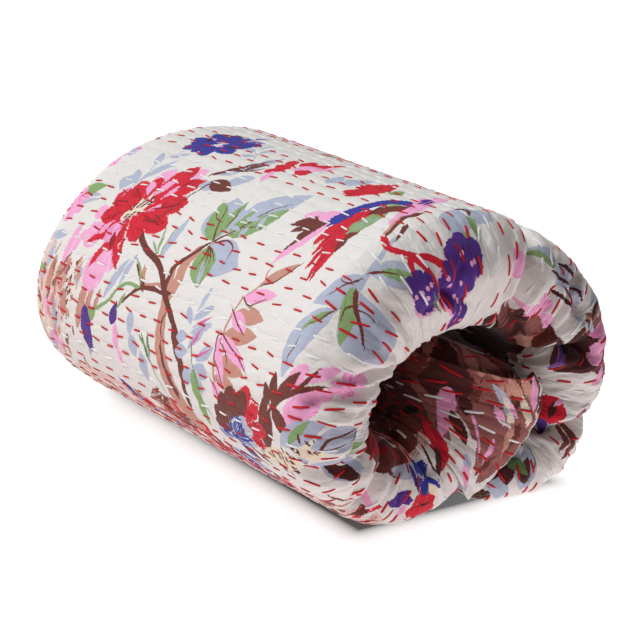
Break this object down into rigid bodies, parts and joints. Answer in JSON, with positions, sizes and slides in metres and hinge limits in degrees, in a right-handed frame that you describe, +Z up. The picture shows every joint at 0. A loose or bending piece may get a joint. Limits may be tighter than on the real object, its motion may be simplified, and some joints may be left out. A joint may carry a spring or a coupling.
{
  "type": "rolled kantha quilt",
  "caption": "Thick soft kantha quilt of printed cotton, folded into a strip and rolled up, its folds and one loose hemmed corner showing at the near end.",
  "frame": {"origin": "bottom centre of the roll, on the surface that it rests on", "axes": "+X along the roll towards the end that shows its folds, +Y across it, with the wide printed side facing -Y, +Z up"},
  "size_m": [0.4046, 0.3116, 0.2274],
  "materials": {
    "printed_cotton": "matt washed cotton, off-white with a printed pattern and rows of running stitch"
  },
  "bodies": {
    "root": {"quilt_roll": "printed_cotton", "loose_corner": "printed_cotton"}
  },
  "joints": []
}
